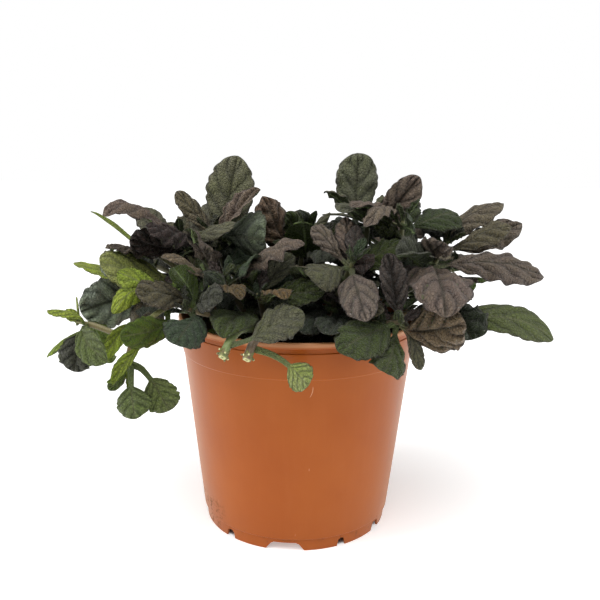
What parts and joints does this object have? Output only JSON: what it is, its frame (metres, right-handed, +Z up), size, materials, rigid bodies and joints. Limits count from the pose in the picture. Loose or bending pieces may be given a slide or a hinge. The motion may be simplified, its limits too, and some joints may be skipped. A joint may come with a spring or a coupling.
{
  "type": "potted bugleweed",
  "caption": "Low spreading purple-leaved bugleweed in a tapered round nursery pot, with two cut flower stalks over the rim and a runner hanging over one side.",
  "frame": {"origin": "centre of the pot's foot circle, on the surface it stands on", "axes": "+Z up along the pot's axis, -Y towards the front with the cut stalks, +X to the plant's right as seen from the front"},
  "size_m": [0.2563, 0.1728, 0.201],
  "materials": {
    "pot_plastic": "semi-gloss terracotta-coloured plastic, thin",
    "potting_mix": "damp dark potting mix of peat and bark crumbs",
    "stem": "soft hairy brown-green stem",
    "dark_leaf": "quilted leaf, purple-bronze and olive above, dark green below, soft sheen",
    "young_leaf": "young green leaf, soft sheen"
  },
  "bodies": {
    "root": {"back_far_left_leaves_1": "dark_leaf", "back_far_left_stem": "stem", "back_far_right_leaves_1": "dark_leaf", "back_far_right_stem": "stem", "back_left_leaves_1": "dark_leaf", "back_left_leaves_2": "dark_leaf", "back_left_stem": "stem", "back_middle_leaves_1": "dark_leaf", "back_middle_stem": "stem", "back_right_leaves_1": "dark_leaf", "back_right_leaves_2": "dark_leaf", "back_right_stem": "stem", "centre_back_leaves_1": "dark_leaf", "centre_back_stem": "stem", "centre_front_leaves_1": "dark_leaf", "centre_front_stem": "stem", "centre_leaves_1": "dark_leaf", "centre_leaves_2": "dark_leaf", "centre_left_leaves_1": "dark_leaf", "centre_left_leaves_2": "dark_leaf", "centre_left_stem": "stem", "centre_stem": "stem", "left_arching_leaves_1": "dark_leaf", "left_arching_stem": "stem", "left_cut_stalk_leaves_1": "dark_leaf", "left_cut_stalk_stem": "stem", "left_low_leaves_1": "dark_leaf", "left_low_stem": "stem", "left_outer_leaves_1": "dark_leaf", "left_outer_leaves_2": "dark_leaf", "left_outer_stem": "stem", "left_rim_leaves_1": "dark_leaf", "left_rim_stem": "stem", "left_upright_leaves_1": "dark_leaf", "left_upright_leaves_2": "dark_leaf", "left_upright_stem": "stem", "pot": "pot_plastic", "potting_mix": "potting_mix", "right_cut_stalk_leaves_1": "dark_leaf", "right_cut_stalk_stem": "stem", "right_high_leaves_1": "dark_leaf", "right_high_stem": "stem", "right_inner_leaves_1": "dark_leaf", "right_inner_stem": "stem", "right_low_leaves_1": "dark_leaf", "right_low_stem": "stem", "right_outer_leaves_1": "dark_leaf", "right_outer_leaves_2": "dark_leaf", "right_outer_stem": "stem", "right_rim_leaves_1": "dark_leaf", "right_rim_stem": "stem", "right_upright_leaves_1": "dark_leaf", "right_upright_leaves_2": "dark_leaf", "right_upright_stem": "stem", "side_runner_leaves_1": "young_leaf", "side_runner_stem": "stem", "trailing_runner_leaves_1": "young_leaf", "trailing_runner_leaves_2": "young_leaf", "trailing_runner_leaves_3": "young_leaf", "trailing_runner_stem": "stem"}
  },
  "joints": []
}
